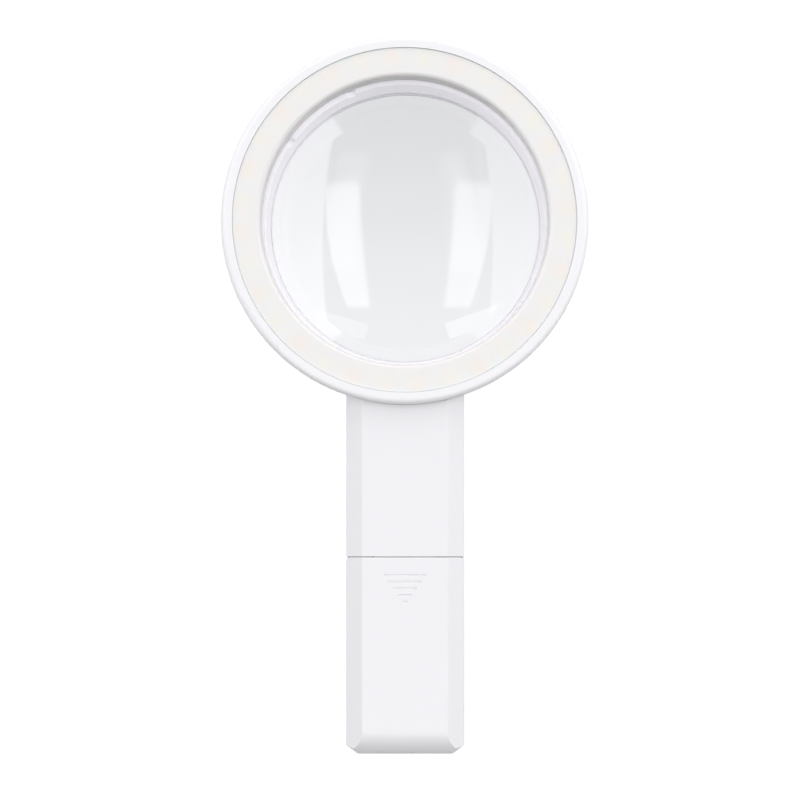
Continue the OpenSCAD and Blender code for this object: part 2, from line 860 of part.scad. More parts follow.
module positive_terminal() {
    x = -cell_pitch;
    contact_plate(x - plate_w / 2, x + 3.6, contact_top_y);
    color("silver") translate([x - 1.2, contact_top_y + plate_t - eps, cell_z]) cube([2.4, 2.4, 0.4]);
}

module upper_bridge_plate() {
    contact_plate(-3.6, cell_pitch + plate_w / 2, contact_top_y);
}

module lower_bridge_plate() {
    contact_plate(-cell_pitch - plate_w / 2, 3.6, contact_end_y - plate_t);
}

module negative_terminal() {
    x = cell_pitch;
    contact_plate(x - 3.6, x + plate_w / 2, contact_end_y - plate_t);
    color("silver") translate([x - 1.2, contact_end_y - plate_t - 2.4, cell_z]) cube([2.4, 2.4 + eps, 0.4]);
}

// ---- Electronics ----

module control_board() {
    color("seagreen") difference() {
        translate([-pcb_w / 2, pcb_top_y - pcb_len, pcb_z]) cube([pcb_w, pcb_len, pcb_t]);
        for (p = pcb_screws) translate([p[0], p[1], 0]) cylinder(r = 1.1, h = 20, $fn = 32);
    }
}

module driver_chip() {
    body_z = pcb_face_z + 0.2;
    color("dimgray") translate([0, pcb_top_y - 22.6, 0]) {
        translate([-2.5, -1.95, body_z]) cube([5, 3.9, 1.4]);
        for (i = [-1.5:1.5], side = [0, 1]) mirror([0, side, 0])
            translate([i * 1.27 - 0.2, 1.95 - eps, pcb_face_z]) cube([0.4, 1.05 + eps, 0.6]);
    }
}

module chip_resistors() {
    color("black") for (i = [0:5]) translate([-6.5 + 2.6 * i, pcb_top_y - 16.1, pcb_face_z])
        translate([-0.65, -1, 0]) cube([1.3, 2, 0.55]);
}

module switch_body() {
    color("dimgray") translate([0, button_y, pcb_z]) mirror([0, 0, 1]) difference() {
        translate([-switch_w / 2, -switch_w / 2, 0]) cube([switch_w, switch_w, switch_h]);
        translate([0, 0, 1]) cylinder(r = plunger_r + 0.1, h = switch_h, $fn = 32);
    }
}

module switch_plunger() {
    color("ivory") translate([0, button_y, plunger_tip_z]) cylinder(r = plunger_r, h = 1.4, $fn = 32);
}

module power_button() {
    crown_z = 0.45;
    crown_r = 24;
    seat_z = wall + 0.06;
    color("white") translate([0, button_y, 0]) {
        intersection() {
            cylinder(r = button_d / 2, h = seat_z + 0.1, $fn = 60);
            translate([0, 0, crown_z + crown_r]) sphere(r = crown_r, $fn = 120);
        }
        translate([0, 0, seat_z]) cylinder(r = flange_r, h = 0.8, $fn = 60);
        translate([0, 0, seat_z]) cylinder(r = 1.5, h = plunger_tip_z - 0.05 - seat_z, $fn = 32);
    }
}

// ---- Wiring ----

module led_leads() {
    board_y = head_y - led_ring_d / 2;
    for (i = [-1:1]) color(["red", "white", "gold"][i + 1]) {
        start = [3 * i, pcb_top_y - 2, pcb_face_z + wire_r + 0.05];
        rise = [1.8 * i, 1, part_z];
        finish = [2.4 * i, board_y, board_z - 0.05];
        lower = bezier([start, start + [0, 4, 0.4], rise - [0, 4, 0], rise], 8);
        upper = bezier([rise, rise + [0, 3, 0], finish - [0, 0.5, 5], finish], 10);
        wire(concat(lower, [for (k = [1:10]) upper[k]]), wire_r, wire_sides, [1, 0, 0]);
    }
}

module positive_lead() {
    start = [-cell_pitch, tray_top_y + 0.6, cell_z + 0.4 + wire_r + 0.05];
    finish = [-8, pcb_top_y - pcb_len + 2.5, pcb_face_z + wire_r + 0.05];
    path = bezier([start, start + [0, 7, 0], finish - [0, 8, -1], finish], 14);
    color("crimson") wire(path, wire_r, wire_sides, [0, 0, 1]);
}

module negative_lead() {
    side_x = 14.5;
    gap_x = side_gap_xs[1];
    start = [cell_pitch, tray_end_y + 0.2, cell_z - wire_r - 0.05];
    low = [side_x, tray_end_y + 8, under_tray_z];
    high = [side_x, support_ys[0] - 1, under_tray_z];
    gap = [gap_x, partition_y - 1, under_tray_z];
    finish = [6.2, pcb_top_y - pcb_len + 2.5, pcb_face_z + wire_r + 0.05];
    drop = bezier([start, start - [0, 7, 0], low - [0, 15, 0.6], low], 16);
    aside = bezier([high, high + [0, 7, 0], gap - [0, 7, 0], gap], 12);
    rise = bezier([gap, gap + [0, 5, 0], finish + [0, -6, 3], finish], 12);
    path = concat(drop, aside, [for (i = [1:12]) rise[i]]);
    color("black") wire(path, wire_r, wire_sides, [1, 0, 0]);
}

// ---- Fasteners ----

module head_screws() {
    color("silver") round_head(head_screw_angles, head_screw_r) translate([0, 0, head_seat_z])
        screw(screw_head_r, screw_head_h, screw_r, 8);
}

module handle_screws() {
    color("silver") for (p = handle_screw_places) translate([p[0], p[1], handle_seat_z])
        screw(screw_head_r, screw_head_h, screw_r, 9);
}

// A small screw that points down, with its head on the plane z.
module small_screw(p, z) {
    translate([p[0], p[1], z]) mirror([0, 0, 1]) screw(1.8, 1.1, small_screw_r, 4);
}

module board_screws() {
    color("silver") for (p = pcb_screws) small_screw(p, pcb_face_z);
}

module tray_screws() {
    color("silver") for (p = tray_screw_places) small_screw(p, tray_floor_z + lug_t);
}

back_housing();
head_bezel();
light_diffuser();
led_board();
warm_leds();
cool_leds();
lens();
lens_retaining_ring();
handle_front_shell();
battery_cover();
battery_tray();
cell_left();
cell_middle();
cell_right();
contact_springs();
positive_terminal();
negative_terminal();
upper_bridge_plate();
lower_bridge_plate();
control_board();
driver_chip();
chip_resistors();
switch_body();
switch_plunger();
power_button();
led_leads();
positive_lead();
negative_lead();
head_screws();
handle_screws();
board_screws();
tray_screws();
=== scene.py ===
import math

import bmesh
import bpy
from mathutils import Matrix, Vector


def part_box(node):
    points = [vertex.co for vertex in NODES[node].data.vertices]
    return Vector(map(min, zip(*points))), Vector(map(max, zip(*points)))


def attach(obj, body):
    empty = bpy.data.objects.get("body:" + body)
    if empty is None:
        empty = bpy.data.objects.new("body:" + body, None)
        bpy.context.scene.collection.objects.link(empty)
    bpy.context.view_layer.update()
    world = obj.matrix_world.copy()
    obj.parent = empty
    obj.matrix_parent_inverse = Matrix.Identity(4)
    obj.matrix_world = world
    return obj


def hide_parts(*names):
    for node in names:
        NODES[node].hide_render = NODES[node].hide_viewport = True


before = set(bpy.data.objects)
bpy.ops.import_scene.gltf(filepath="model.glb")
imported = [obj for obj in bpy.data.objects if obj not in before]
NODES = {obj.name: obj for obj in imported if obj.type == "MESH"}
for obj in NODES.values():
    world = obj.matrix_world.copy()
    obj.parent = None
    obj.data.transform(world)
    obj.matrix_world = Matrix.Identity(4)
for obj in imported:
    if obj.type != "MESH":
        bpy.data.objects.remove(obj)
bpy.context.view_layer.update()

MM = 0.001
TAU = 2 * math.pi

# ---- Places, all from the CAD ----

BEZEL_LO, BEZEL_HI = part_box("head_bezel")
LENS_LO, LENS_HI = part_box("lens")
LEDS_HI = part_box("warm_leds")[1]

HEAD = Vector((0, (BEZEL_LO.y + BEZEL_HI.y) / 2, 0))
RIM_Z = BEZEL_HI.z
LENS_R = LENS_HI.x
LED_HALF = 1.4 * MM
LED_R = LEDS_HI.x - LED_HALF
LED_PAIRS = 16
LED_START = math.radians(4.3)
ACRYLIC_IOR = 1.49
SHARP_ANGLE = math.radians(35)


# ---- Node trees ----

class Nodes:
    """A material under construction: short calls for the nodes that the materials below share."""

    def __init__(self, name, world=None):
        self.material = world or bpy.data.materials.new(name)
        self.material.use_nodes = True
        self.tree = self.material.node_tree
        self.tree.nodes.clear()
        self.out = self.tree.nodes.new("ShaderNodeOutputWorld" if world else "ShaderNodeOutputMaterial")

    def new(self, kind, **inputs):
        node = self.tree.nodes.new(kind)
        for key, value in inputs.items():
            self.put(node, key.replace("_", " "), value)
        return node

    def put(self, node, key, value):
        socket = node.inputs[key]
        if isinstance(value, bpy.types.NodeSocket):
            self.tree.links.new(value, socket)
        else:
            socket.default_value = value

    def math(self, operation, a, b=0.0):
        node = self.tree.nodes.new("ShaderNodeMath")
        node.operation = operation
        self.put(node, 0, a)
        self.put(node, 1, b)
        return node.outputs[0]

    def place(self):
        """The point on the piece, in metres in the CAD frame."""
        return self.new("ShaderNodeTexCoord").outputs["Object"]

    def split(self, vector):
        return self.new("ShaderNodeSeparateXYZ", Vector=vector).outputs

    def noise(self, size, detail=2.0, roughness=0.5):
        """Noise with features about size metres across, from 0 to 1."""
        node = self.new("ShaderNodeTexNoise", Vector=self.place(), Scale=1 / size,
                        Detail=detail, Roughness=roughness)
        return node.outputs["Fac"]

    def spread(self, value, low, high):
        """A value from 0 to 1, spread from low to high."""
        node = self.tree.nodes.new("ShaderNodeMapRange")
        self.put(node, "Value", value)
        self.put(node, "To Min", low)
        self.put(node, "To Max", high)
        return node.outputs["Result"]

    def smooth(self, value, start, end, low, high):
        """Low up to start, high beyond end, and a smooth step between them."""
        node = self.tree.nodes.new("ShaderNodeMapRange")
        node.interpolation_type = "SMOOTHSTEP"
        settings = {"Value": value, "From Min": start, "From Max": end, "To Min": low, "To Max": high}
        for key, number in settings.items():
            self.put(node, key, number)
        return node.outputs["Result"]

    def mix(self, factor, a, b):
        """Colour a at factor 0, colour b at factor 1."""
        node = self.tree.nodes.new("ShaderNodeMix")
        node.data_type = "RGBA"
        self.put(node, 0, factor)
        self.put(node, 6, (*a, 1) if isinstance(a, tuple) else a)
        self.put(node, 7, (*b, 1) if isinstance(b, tuple) else b)
        return node.outputs[2]

    def bump(self, height, distance, strength=1.0, normal=None):
        """A normal that follows height, of distance metres at its highest."""
        node = self.new("ShaderNodeBump", Height=height, Distance=distance, Strength=strength)
        if normal is not None:
            self.put(node, "Normal", normal)
        return node.outputs["Normal"]

    def soft_edge(self, radius):
        """A normal that rounds sharp moulded edges over radius metres."""
        node = self.new("ShaderNodeBevel", Radius=radius)
        node.samples = 8
        return node.outputs["Normal"]

    def surface(self, shader):
        self.tree.links.new(shader, self.out.inputs["Surface"])
        return self.material


def principled(n, colour, roughness, normal=None, **more):
    node = n.new("ShaderNodeBsdfPrincipled", Roughness=roughness)
    n.put(node, "Base Color", (*colour, 1) if isinstance(colour, tuple) else colour)
    if normal is not None:
        n.put(node, "Normal", normal)
    for key, value in more.items():
        n.put(node, key.replace("_", " "), value)
    return node.outputs["BSDF"]


def painted_wall_glow(n, own=0.0):
    """Painted light on the walls round the lens: an emission strength that makes them glow as seen
    directly, through it and in its reflections.
    """
    middle_gap, gap_level = (24 * MM, 26 * MM), 0.08
    left_level, right_level = 2.9, 1.8
    lens_edge_top = 13.5 * MM
    through_level = 0.08
    top_level = 2.2
    x, y, z = n.split(n.place())
    path = n.new("ShaderNodeLightPath").outputs
    beside = n.smooth(n.math("ABSOLUTE", x), *middle_gap, gap_level, 1.0)
    level = n.smooth(x, -20 * MM, 20 * MM, left_level, right_level)
    above_lens = n.math("GREATER_THAN", z, lens_edge_top)
    in_lens = n.math("MULTIPLY", path["Is Singular Ray"], path["Is Glossy Ray"])
    reflected = n.math("MULTIPLY", in_lens, above_lens)
    # painted reflection: the walls glow in the lens's reflections, lighter on the left, dimmer in the
    # middle gap
    mirrored = n.math("MULTIPLY", reflected, n.math("MULTIPLY", beside, level))
    # painted light: the walls glow when seen through the lens
    through = n.math("MULTIPLY", path["Is Transmission Ray"], through_level)
    # painted light: their own glow grows towards the top of the head
    up = n.smooth(y, HEAD.y, HEAD.y + 45 * MM, 1.0, top_level)
    return n.math("ADD", n.math("ADD", mirrored, through), n.math("MULTIPLY", up, own))


def moulded(name, light, dark, rough, edge=0.12 * MM, glow=None):
    """Moulded plastic: a fine spark-eroded grain, faint flow marks and softened edges. With glow, an
    emission also paints light on it round the lens.
    """
    grain, grain_depth, flow_size = 0.35 * MM, 0.004 * MM, 14 * MM
    n = Nodes(name)
    more = {}
    if glow is not None:
        # painted light: an emission that makes the plastic round the lens glow
        more.update(Emission_Color=(0.96, 0.95, 1.0, 1.0), Emission_Strength=painted_wall_glow(n, glow))
    flow = n.noise(flow_size, 3)
    fine = n.noise(grain, 3, 0.6)
    colour = n.mix(n.spread(flow, 0.2, 0.8), light, dark)
    by_grain = n.spread(fine, rough - 0.05, rough + 0.05)
    roughness = n.math("ADD", by_grain, n.spread(flow, -0.04, 0.04))
    normal = n.bump(fine, grain_depth, 0.8, n.soft_edge(edge))
    return n.surface(principled(n, colour, roughness, normal, **more))


def led_glow(n, turn):
    """From 0 to 1, how near a point of the diffuser is to a lamp of the set that starts at turn."""
    x, y, _ = n.split(n.place())
    y = n.math("SUBTRACT", y, HEAD.y)
    radius = n.math("SQRT", n.math("ADD", n.math("MULTIPLY", x, x), n.math("MULTIPLY", y, y)))
    angle = n.math("SUBTRACT", n.math("ARCTAN2", y, x), turn)
    step = TAU / LED_PAIRS
    turned = n.math("FLOORED_MODULO", n.math("ADD", angle, step / 2), step)
    beside = n.math("SUBTRACT", turned, step / 2)
    along = n.math("MULTIPLY", beside, radius)
    across = n.math("SUBTRACT", radius, LED_R)
    squared = n.math("ADD", n.math("MULTIPLY", along, along), n.math("MULTIPLY", across, across))
    width = 2.2 * MM
    return n.math("EXPONENT", n.math("MULTIPLY", squared, -1 / (2 * width * width)))


def opal(name):
    """Opal plastic, tinted in front of the lamps behind it, with an emission that paints light on it in
    the lens's reflections and through the lens.
    """
    warm_tint, cool_tint = 0.36, 0.34
    n = Nodes(name)
    cloud = n.noise(9 * MM, 2)
    base = n.mix(n.spread(cloud, 0.0, 1.0), (0.80, 0.792, 0.785), (0.79, 0.782, 0.775))
    warm = n.math("MULTIPLY", led_glow(n, LED_START), warm_tint)
    cool = n.math("MULTIPLY", led_glow(n, LED_START + math.pi / LED_PAIRS), cool_tint)
    colour = n.mix(warm, base, (0.88, 0.75, 0.63))
    colour = n.mix(cool, colour, (0.85, 0.80, 0.66))
    fine = n.noise(0.3 * MM, 2)
    normal = n.bump(fine, 0.003 * MM, 0.7, n.soft_edge(0.2 * MM))
    # painted light: the diffuser glows in the lens's reflections and as seen through the lens
    shader = principled(n, colour, n.spread(fine, 0.36, 0.46), normal,
                        Subsurface_Weight=0.25, Subsurface_Scale=1.5 * MM,
                        Emission_Color=(1.0, 0.98, 0.99, 1.0), Emission_Strength=painted_wall_glow(n))
    return n.surface(shader)


def clear_lens(name):
    """Polished acrylic whose rear face reflects little when seen from above.

    Light on its way to other surfaces goes straight through.
    """
    slant, upright, refracted_only = 0.9, 0.96, 0.85
    n = Nodes(name)
    tint = n.mix(n.noise(18 * MM, 3), (0.982, 0.986, 0.99), (0.988, 0.991, 0.994))
    whole = n.new("ShaderNodeBsdfGlass", IOR=ACRYLIC_IOR, Roughness=0.0, Color=tint)
    bent = n.new("ShaderNodeBsdfRefraction", IOR=ACRYLIC_IOR, Roughness=0.0, Color=tint)
    point = n.new("ShaderNodeNewGeometry").outputs
    rise = n.math("ABSOLUTE", n.split(point["Incoming"])[2])
    steep = n.smooth(rise, slant, upright, 0.0, refracted_only)
    glass = n.new("ShaderNodeMixShader", Fac=n.math("MULTIPLY", point["Backfacing"], steep))
    n.put(glass, 1, whole.outputs[0])
    n.put(glass, 2, bent.outputs[0])
    clear = n.new("ShaderNodeBsdfTransparent")
    n.put(clear, "Color", (0.96, 0.965, 0.968, 1))
    path = n.new("ShaderNodeLightPath").outputs
    straight = n.math("MAXIMUM", path["Is Shadow Ray"], path["Is Diffuse Ray"])
    mixed = n.new("ShaderNodeMixShader", Fac=straight)
    n.put(mixed, 1, glass.outputs[0])
    n.put(mixed, 2, clear.outputs[0])
    return n.surface(mixed.outputs[0])


def plated(name, colour, rough):
    """Nickel-plated steel with fine scratches and a few stains."""
    n = Nodes(name)
    marks = n.noise(0.25 * MM, 4, 0.7)
    stain = n.noise(2.5 * MM, 2)
    dull = tuple(c * 0.8 for c in colour)
    shade = n.mix(n.spread(stain, 0.0, 0.7), colour, dull)
    normal = n.bump(marks, 0.004 * MM, 0.5, n.soft_edge(0.08 * MM))
    roughness = n.spread(marks, rough - 0.06, rough + 0.1)
    return n.surface(principled(n, shade, roughness, normal, Metallic=1.0))


def board(name, mask, trace, pitch):
    """Circuit board: solder mask over copper tracks, which show as slightly lighter raised lines."""
    repeats, gap_share, track_height = 4.0, 0.3, 0.03 * MM
    n = Nodes(name)
    cells = n.new("ShaderNodeTexVoronoi", Vector=n.place(), Scale=1 / pitch)
    cells.distance = "CHEBYCHEV"
    cells.feature = "F2"
    tracks = n.math("PINGPONG", n.math("MULTIPLY", cells.outputs["Distance"], repeats), 0.5)
    line = n.math("GREATER_THAN", tracks, gap_share)
    colour = n.mix(line, mask, trace)
    normal = n.bump(line, track_height, 0.5)
    return n.surface(principled(n, colour, n.spread(n.noise(1 * MM), 0.25, 0.4), normal))


def lamp(name, phosphor):
    """A lamp: white package, phosphor in the window that is sunk into its top."""
    window_top, window_floor = LEDS_HI.z - 0.1 * MM, LEDS_HI.z - 0.5 * MM
    n = Nodes(name)
    z = n.split(n.place())[2]
    face = n.math("GREATER_THAN", z, window_top)
    side = n.math("LESS_THAN", z, window_floor)
    white = n.math("MAXIMUM", face, side)
    grain = n.noise(0.2 * MM, 2)
    colour = n.mix(white, phosphor, (0.9, 0.9, 0.88))
    normal = n.bump(grain, 0.01 * MM, 0.5, n.soft_edge(0.1 * MM))
    return n.surface(principled(n, colour, n.spread(grain, 0.3, 0.5), normal))


def jacket(name, cell, button_side):
    """A cell: dark sleeve, plain bright band near the button, bare steel at the button and the base."""
    bare_button, bare_base, band_end = 1.5 * MM, 0.15 * MM, 10 * MM
    n = Nodes(name)
    low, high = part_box(cell)
    button_y, base_y = (high.y, low.y) if button_side > 0 else (low.y, high.y)
    y = n.split(n.place())[1]
    from_button = n.math("ABSOLUTE", n.math("SUBTRACT", y, button_y))
    from_base = n.math("ABSOLUTE", n.math("SUBTRACT", y, base_y))
    button_end = n.math("LESS_THAN", from_button, bare_button)
    base_end = n.math("LESS_THAN", from_base, bare_base)
    bare = n.math("MAXIMUM", button_end, base_end)
    wrinkle = n.noise(1.6 * MM, 3, 0.55)
    shade = n.spread(wrinkle, 0.0, 0.6)
    sleeve = n.mix(shade, (0.045, 0.16, 0.12), (0.035, 0.12, 0.10))
    bright = n.mix(shade, (0.70, 0.66, 0.55), (0.62, 0.58, 0.48))
    printed = n.mix(n.math("LESS_THAN", from_button, band_end), sleeve, bright)
    colour = n.mix(bare, printed, (0.72, 0.71, 0.68))
    normal = n.bump(wrinkle, 0.02 * MM, 0.4)
    gloss = n.spread(wrinkle, 0.22, 0.34)
    return n.surface(principled(n, colour, gloss, normal, Metallic=bare, Coat_Weight=0.4))


def wire_jackets(name):
    """Three wires side by side, told apart by their place across the handle."""
    between = 0.9 * MM
    n = Nodes(name)
    x = n.split(n.place())[0]
    left = n.math("LESS_THAN", x, -between)
    right = n.math("GREATER_THAN", x, between)
    colour = n.mix(right, n.mix(left, (0.86, 0.85, 0.82), (0.62, 0.04, 0.03)), (0.85, 0.62, 0.06))
    fine = n.noise(0.5 * MM, 2)
    return n.surface(principled(n, colour, n.spread(fine, 0.35, 0.5), n.bump(fine, 0.01 * MM, 0.4)))


WHITE = moulded("white_abs", (0.805, 0.798, 0.815), (0.79, 0.783, 0.80), 0.34)
# painted light: a lighter copy of the white plastic, so the rim reads brighter than the handle
BEZEL = moulded("bezel_abs_painted_light", (0.84, 0.832, 0.848), (0.825, 0.817, 0.833), 0.34)
# painted light: the white plastic with an emission, so the back housing glows in the lens's reflections
# and through it
BOWL_PAINTED_LIGHT = moulded("bowl_abs_painted_light", (0.805, 0.798, 0.815), (0.79, 0.783, 0.80), 0.34, glow=0.0)
# painted light: a lighter copy of the white plastic with its own glow, so the retaining ring deep in the
# head reads bright
RING_PAINTED_LIGHT = moulded("ring_abs_painted_light", (0.90, 0.88, 0.91), (0.88, 0.86, 0.89), 0.4, glow=0.1)
TRAY = moulded("tray_abs", (0.80, 0.80, 0.79), (0.76, 0.76, 0.75), 0.45)
BUTTON = moulded("button_abs", (0.80, 0.81, 0.83), (0.77, 0.78, 0.80), 0.3)
PACKAGE = moulded("black_epoxy", (0.03, 0.03, 0.032), (0.022, 0.022, 0.024), 0.5, edge=0.08 * MM)
OPAL = opal("opal_diffuser")
LENS = clear_lens("clear_acrylic")
STEEL = plated("nickel_plate", (0.72, 0.71, 0.68), 0.24)
GREEN_BOARD = board("green_board", (0.012, 0.13, 0.05), (0.02, 0.22, 0.08), 1.3 * MM)
WHITE_BOARD = board("white_board", (0.84, 0.85, 0.84), (0.78, 0.79, 0.77), 2.2 * MM)
WARM = lamp("warm_lamp", (0.93, 0.62, 0.22))
COOL = lamp("cool_lamp", (0.93, 0.88, 0.36))
LEFT_CELL = jacket("left_cell_sleeve", "cell_left", 1)
MIDDLE_CELL = jacket("middle_cell_sleeve", "cell_middle", -1)
RIGHT_CELL = jacket("right_cell_sleeve", "cell_right", 1)
WIRES = wire_jackets("led_wires")
RED = moulded("red_pvc", (0.6, 0.03, 0.025), (0.52, 0.025, 0.02), 0.4)
BLACK = moulded("black_pvc", (0.02, 0.02, 0.02), (0.03, 0.03, 0.03), 0.4)

FINISH = {
    "back_housing": BOWL_PAINTED_LIGHT, "head_bezel": BEZEL, "lens_retaining_ring": RING_PAINTED_LIGHT,
    "handle_front_shell": WHITE, "battery_cover": WHITE, "light_diffuser": OPAL,
    "led_board": WHITE_BOARD, "warm_leds": WARM, "cool_leds": COOL, "lens": LENS,
    "battery_tray": TRAY, "cell_left": LEFT_CELL, "cell_middle": MIDDLE_CELL, "cell_right": RIGHT_CELL,
    "contact_springs": STEEL, "positive_terminal": STEEL, "negative_terminal": STEEL,
    "upper_bridge_plate": STEEL, "lower_bridge_plate": STEEL, "control_board": GREEN_BOARD,
    "driver_chip": PACKAGE, "chip_resistors": PACKAGE, "switch_body": PACKAGE,
    "switch_plunger": TRAY, "power_button": BUTTON, "led_leads": WIRES,
    "positive_lead": RED, "negative_lead": BLACK, "head_screws": STEEL,
    "handle_screws": STEEL, "board_screws": STEEL, "tray_screws": STEEL,
}

for node_name, material in FINISH.items():
    mesh = NODES[node_name].data
    mesh.materials.clear()
    mesh.materials.append(material)


# ---- Pieces made here ----

def piece(name, bm, material, body):
    """Turns a bmesh into a smooth-shaded object that rides on a body."""
    bmesh.ops.recalc_face_normals(bm, faces=bm.faces)
    mesh = bpy.data.meshes.new(name)
    bm.to_mesh(mesh)
    bm.free()
    for polygon in mesh.polygons:
        polygon.use_smooth = True
    mesh.set_sharp_from_angle(angle=SHARP_ANGLE)
    mesh.materials.append(material)
    made = bpy.data.objects.new(name, mesh)
    bpy.context.scene.collection.objects.link(made)
    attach(made, body)
    return made


def revolve(profile, centre, steps):
    """Surface of revolution about Z through centre, from radii and heights. Radius 0 is a pole."""
    bm = bmesh.new()
    rings = []
    for radius, z in profile:
        if radius == 0:
            rings.append([bm.verts.new((centre.x, centre.y, z))])
            continue
        turns = [TAU * k / steps for k in range(steps)]
        ring = [(centre.x + radius * math.cos(a), centre.y + radius * math.sin(a), z) for a in turns]
        rings.append([bm.verts.new(corner) for corner in ring])
    for low, high in zip(rings, rings[1:]):
        for k in range(steps):
            j = (k + 1) % steps
            corners = [low[k % len(low)], low[j % len(low)], high[j % len(high)], high[k % len(high)]]
            bm.faces.new(list(dict.fromkeys(corners)))
    return bm


def cap_profile(base_r, base_z, apex_z, steps=40):
    """Radius and height along a spherical cap, from its pole to its base."""
    sag = abs(apex_z - base_z)
    ball = (base_r ** 2 + sag ** 2) / (2 * sag)
    side = 1 if apex_z > base_z else -1
    points = []
    for i in range(steps + 1):
        r = base_r * i / steps
        points.append((r, base_z + side * (math.sqrt(ball ** 2 - r ** 2) - (ball - sag))))
    return points


def make_lens():
    """The lens with fine faces, so that it reflects and refracts without facets."""
    edge_low, edge_high = 10.0 * MM, 13.0 * MM
    front_lip, rear_lip, chamfer = 1.1 * MM, 1.6 * MM, 0.15 * MM
    steps = 256
    front = cap_profile(LENS_R - front_lip, edge_high, LENS_HI.z)
    rear = cap_profile(LENS_R - rear_lip, edge_low, LENS_LO.z)
    rim = [(LENS_R - chamfer, edge_high), (LENS_R, edge_high - chamfer),
           (LENS_R, edge_low + chamfer), (LENS_R - chamfer, edge_low)]
    shape = revolve(front + rim + rear[::-1], HEAD, steps)
    lens = piece("clear_lens", shape, LENS, "magnifier_body")
    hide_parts("lens")


make_lens()


# ---- Floor, light and camera ----

def floor_material():
    """Plain floor, pure white from straight above. From the side it takes a soft shadow. Its bounce light
    is painted shade, near black towards the handle's end; seen through the lens it is painted light, an
    emission brighter towards the handle than towards the head's top.
    """
    handle_bounce, head_bounce = 0.03, 0.65
    overhead_glow = 1.05
    low_glow, high_glow, through_share = 0.95, 0.785, 0.88
    n = Nodes("floor_white")
    path = n.new("ShaderNodeLightPath").outputs
    tone = n.noise(40 * MM, 2)
    paper = n.mix(tone, (0.83, 0.83, 0.84), (0.85, 0.85, 0.86))
    y = n.split(n.place())[1]
    # painted shade: the floor's bounce light is near black towards the handle's end and brighter under the
    # head, which darkens the handle's end
    bounce = n.spread(n.smooth(y, -110 * MM, 0.0, 0.0, 1.0), handle_bounce, head_bounce)
    paper = n.mix(path["Is Diffuse Ray"], paper, n.mix(bounce, (0, 0, 0), (1, 1, 1)))
    diffuse = n.new("ShaderNodeBsdfDiffuse", Color=paper)
    glow = n.new("ShaderNodeEmission", Strength=overhead_glow)
    n.put(glow, "Color", (1, 1, 1, 1))
    incoming = n.split(n.new("ShaderNodeNewGeometry").outputs["Incoming"])[2]
    overhead = n.math("MULTIPLY", path["Is Camera Ray"], n.smooth(incoming, 0.72, 0.84, 0.0, 1.0))
    mixed = n.new("ShaderNodeMixShader", Fac=overhead)
    n.put(mixed, 1, diffuse.outputs[0])
    n.put(mixed, 2, glow.outputs[0])
    # painted light: seen through the lens the floor is an emission, brighter towards the handle than
    # towards the head's top
    strength = n.smooth(y, HEAD.y - 50 * MM, HEAD.y + 50 * MM, low_glow, high_glow)
    through = n.new("ShaderNodeEmission", Strength=strength)
    n.put(through, "Color", (0.99, 0.988, 1.0, 1))
    seen_through = n.math("MULTIPLY", path["Is Transmission Ray"], through_share)
    last = n.new("ShaderNodeMixShader", Fac=seen_through)
    n.put(last, 1, mixed.outputs[0])
    n.put(last, 2, through.outputs[0])
    return n.surface(last.outputs[0])


def make_floor():
    """A large square just under the magnifier."""
    half, drop = 3.0, 0.2 * MM
    bm = bmesh.new()
    places = ((-half, -half), (half, -half), (half, half), (-half, half))
    bm.faces.new([bm.verts.new((x, y, -drop)) for x, y in places])
    mesh = bpy.data.meshes.new("floor")
    bm.to_mesh(mesh)
    bm.free()
    mesh.materials.append(floor_material())
    floor = bpy.data.objects.new("floor", mesh)
    bpy.context.scene.collection.objects.link(floor)


def softbox(name, near, far, width, radiance, target):
    """A rectangular light whose middle line runs from near to far. It faces target."""
    near, far = Vector(near), Vector(far)
    place = (near + far) / 2
    along = (far - near).normalized()
    away = place - Vector(target)
    away = (away - along * away.dot(along)).normalized()
    data = bpy.data.lights.new(name, "AREA")
    data.shape = "RECTANGLE"
    data.size, data.size_y = width, (far - near).length
    data.energy = radiance * math.pi * data.size * data.size_y
    light = bpy.data.objects.new(name, data)
    bpy.context.scene.collection.objects.link(light)
    light.matrix_world = Matrix((along.cross(away), along, away)).transposed().to_4x4()
    light.location = place
    return light


def strip(n, behind, across, along, side, level):
    """A tall softbox with a bowed outer edge over what is behind it, on one side of the tent's gap."""
    inner, outer = (0.232, 0.403) if side < 0 else (0.205, 0.388)
    middle, inner_lean, outer_lean, bend = 0.09, 0.095, 0.2, -0.25
    out = n.math("MULTIPLY", across, side)
    up = n.math("SUBTRACT", along, middle)
    near = n.math("ADD", n.math("MULTIPLY", up, inner_lean), inner)
    bow = n.math("MULTIPLY", n.math("MULTIPLY", up, up), bend)
    far = n.math("ADD", n.math("ADD", n.math("MULTIPLY", up, outer_lean), outer), bow)
    past_near = n.smooth(n.math("SUBTRACT", out, near), -0.022, 0.012, 0.0, 1.0)
    before_far = n.smooth(n.math("SUBTRACT", out, far), -0.012, 0.012, 1.0, 0.0)
    below_top = n.smooth(along, 0.37, 0.46, 1.0, 0.0)
    ends = n.math("MULTIPLY", below_top, n.smooth(along, -0.235, -0.205, 0.0, 1.0))
    shape = n.math("MULTIPLY", n.math("MULTIPLY", past_near, before_far), ends)
    return n.spread(shape, behind, level)


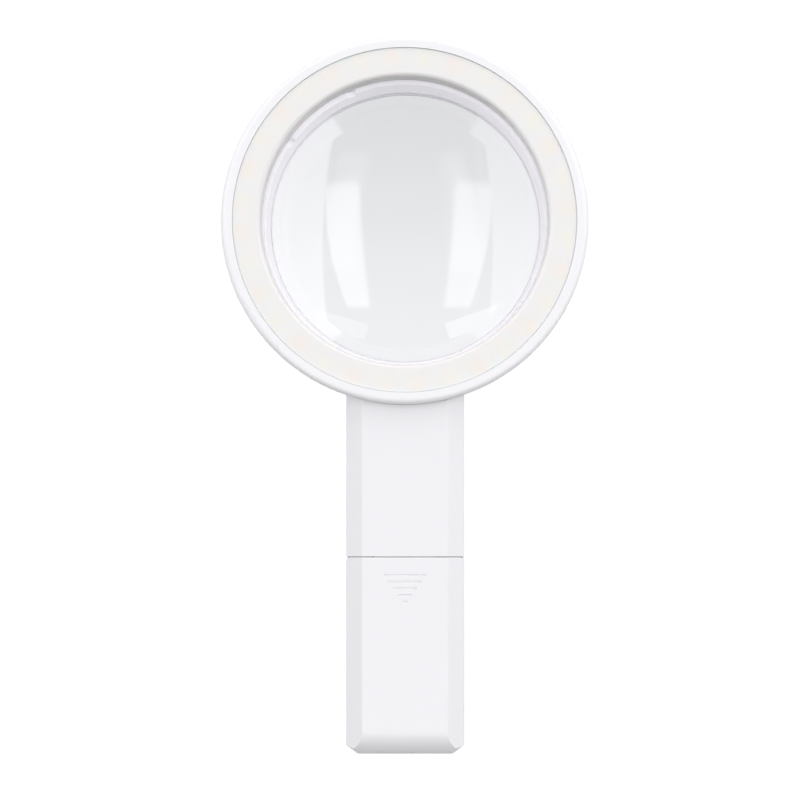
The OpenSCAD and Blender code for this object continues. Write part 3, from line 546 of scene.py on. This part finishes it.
def make_world():
    """A white tent with a gap along the middle, where the camera looks in, and a dark end past the handle.

    The lens reflects a version of it with its own levels and with two tall softboxes.
    """
    gap_inner, gap_outer, gap_middle = 0.42, 0.44, -0.012
    wall_level, gap_level, gloss_level = 1.6, 0.3, 1.3
    lens_left, lens_right, lens_gap = 3.1, 2.3, 0.4
    strip_left, strip_right = 3.5, 3.1
    seen_by_camera = 0.86
    n = Nodes("studio", bpy.data.worlds.new("studio"))
    x, y, z = n.split(n.new("ShaderNodeTexCoord").outputs["Generated"])
    rise = n.math("MAXIMUM", z, 0.02)
    across = n.math("DIVIDE", x, rise)
    from_middle = n.math("ABSOLUTE", n.math("SUBTRACT", across, gap_middle))
    beside = n.smooth(from_middle, gap_inner, gap_outer, 0.0, 1.0)
    along = n.math("DIVIDE", y, rise)
    top_end = n.smooth(along, 1.3, 1.6, 0.0, 1.0)
    beyond = n.math("MAXIMUM", top_end, n.smooth(along, -0.6, -0.8, 0.0, 1.0))
    tent = n.math("MAXIMUM", beside, beyond)
    high = n.smooth(z, -0.05, 0.4, 0.36, 1.0)
    side = n.smooth(x, -0.6, 0.6, 0.94, 1.04)
    walls = n.math("MULTIPLY", n.math("MULTIPLY", high, side), wall_level)
    lit = n.math("MAXIMUM", tent, n.smooth(along, -0.3, -0.5, 0.0, 1.0))
    path = n.new("ShaderNodeLightPath").outputs
    before_end = n.smooth(y, -0.66, -0.38, 0.0, 1.0)
    diffuse = n.math("MULTIPLY", n.spread(lit, gap_level, walls), before_end)
    gloss = n.math("MULTIPLY", diffuse, n.spread(path["Is Glossy Ray"], 1.0, gloss_level))
    lens_side = n.smooth(x, -0.4, 0.4, lens_left, lens_right)
    low_end = n.smooth(y, -0.97, -0.6, 0.5, 1.0)
    mirrored = n.math("MULTIPLY", n.spread(tent, lens_gap, lens_side), low_end)
    mirrored = strip(n, mirrored, across, along, -1, strip_left)
    mirrored = strip(n, mirrored, across, along, 1, strip_right)
    level = n.spread(path["Is Singular Ray"], gloss, mirrored)
    shown = n.spread(path["Is Camera Ray"], level, seen_by_camera)
    back = n.new("ShaderNodeBackground", Strength=shown)
    n.put(back, "Color", (0.985, 0.985, 1.0, 1))
    n.surface(back.outputs[0])
    bpy.context.scene.world = n.material


def make_lights():
    """The tent, and on each side a tall softbox beside the gap and a small one near the handle's end."""
    make_world()
    head = (0, HEAD.y, RIM_Z)
    tall, low_left, low_right = 3.6, 1.2, 2.0
    left = softbox("strip_left", (-0.315, -0.225, 1.176), (-0.282, 0.386, 0.75), 0.137, tall, head)
    right = softbox("strip_right", (0.2385, -0.1756, 0.976), (0.2776, 0.406, 0.80), 0.149, tall, head)
    left.visible_glossy = right.visible_glossy = False
    softbox("low_left", (-0.22, -0.305, 0.95), (-0.51, -0.235, 0.95), 0.085, low_left, head)
    softbox("low_right", (0.19, -0.30, 0.95), (0.50, -0.20, 0.95), 0.085, low_right, head)


def make_camera():
    """Straight above the object's middle, as far off as the photograph's perspective says."""
    focal_share, shift_share = 981.0 / 800.0, -27.0 / 800.0
    aside, below_head, above_rim = 7.2 * MM, 57.9 * MM, 315 * MM
    data = bpy.data.cameras.new("camera")
    data.sensor_width = 36.0
    data.lens = data.sensor_width * focal_share
    data.shift_x = shift_share
    data.clip_start = 0.01
    camera = bpy.data.objects.new("camera", data)
    bpy.context.scene.collection.objects.link(camera)
    camera.location = (aside, HEAD.y - below_head, RIM_Z + above_rim)
    bpy.context.scene.camera = camera


make_floor()
make_lights()
make_camera()
bpy.context.scene.view_settings.view_transform = "Standard"
